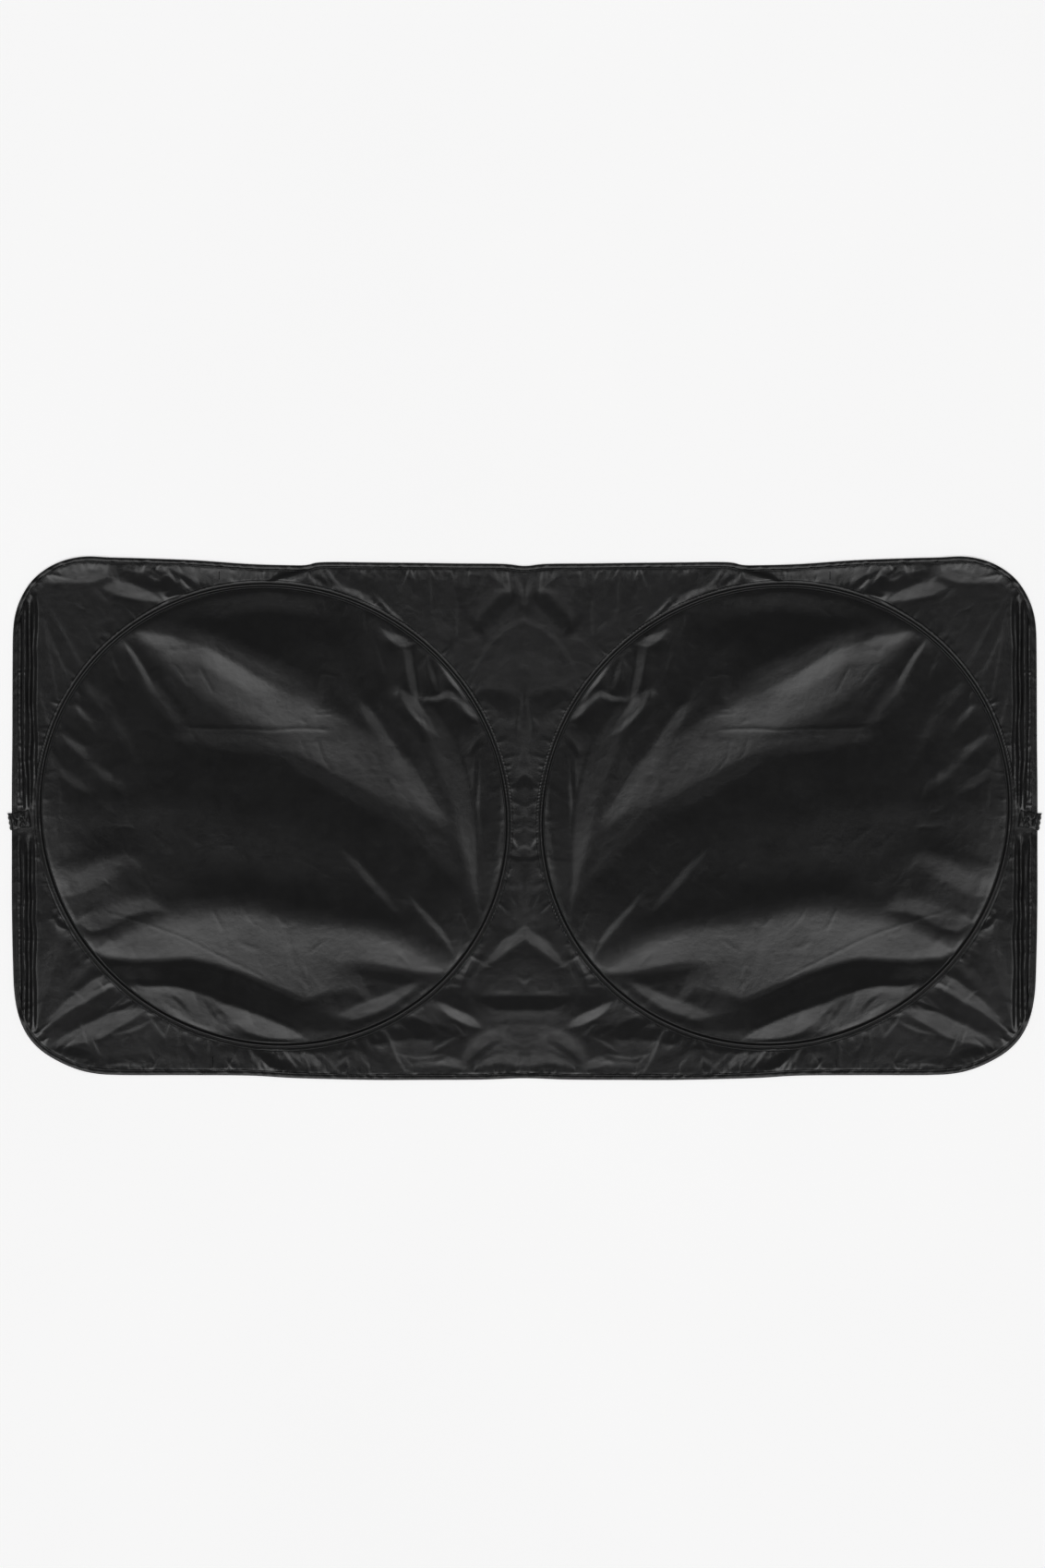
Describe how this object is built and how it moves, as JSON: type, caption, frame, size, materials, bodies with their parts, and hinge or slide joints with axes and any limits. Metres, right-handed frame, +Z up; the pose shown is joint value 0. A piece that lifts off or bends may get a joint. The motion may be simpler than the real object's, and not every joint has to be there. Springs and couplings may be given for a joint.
{
  "type": "pop-up car windscreen sunshade",
  "caption": "Folding car sunshade opened flat: sprung wire rings hold discs of thin black coated cloth inside a rounded, bound rectangle of the same cloth.",
  "frame": {"origin": "on the surface that the shade lies on, under the middle of its outline", "axes": "+X along the shade's length, towards the right-hand ring; +Y across it, towards the edge with the pleats; +Z up from the surface"},
  "size_m": [1.4128, 0.7141, 0.0048],
  "materials": {
    "cloth": "thin coated taffeta, semi-gloss, creased",
    "tape": "folded woven tape, dull, stitched",
    "elastic": "ribbed woven elastic",
    "spring_steel": "drawn round wire",
    "ferrule_steel": "crimped tube"
  },
  "bodies": {
    "root": {"disc_panel_left": "cloth", "disc_panel_right": "cloth", "end_panel_left": "cloth", "end_panel_right": "cloth", "centre_panel": "cloth", "ring_wire_left": "spring_steel", "ring_wire_right": "spring_steel", "ring_ferrule_left": "ferrule_steel", "ring_ferrule_right": "ferrule_steel", "ring_casing_left": "tape", "ring_casing_right": "tape", "rim_wire_left": "spring_steel", "rim_wire_right": "spring_steel", "rim_binding": "tape", "strap_left": "elastic", "strap_right": "elastic"}
  },
  "joints": []
}
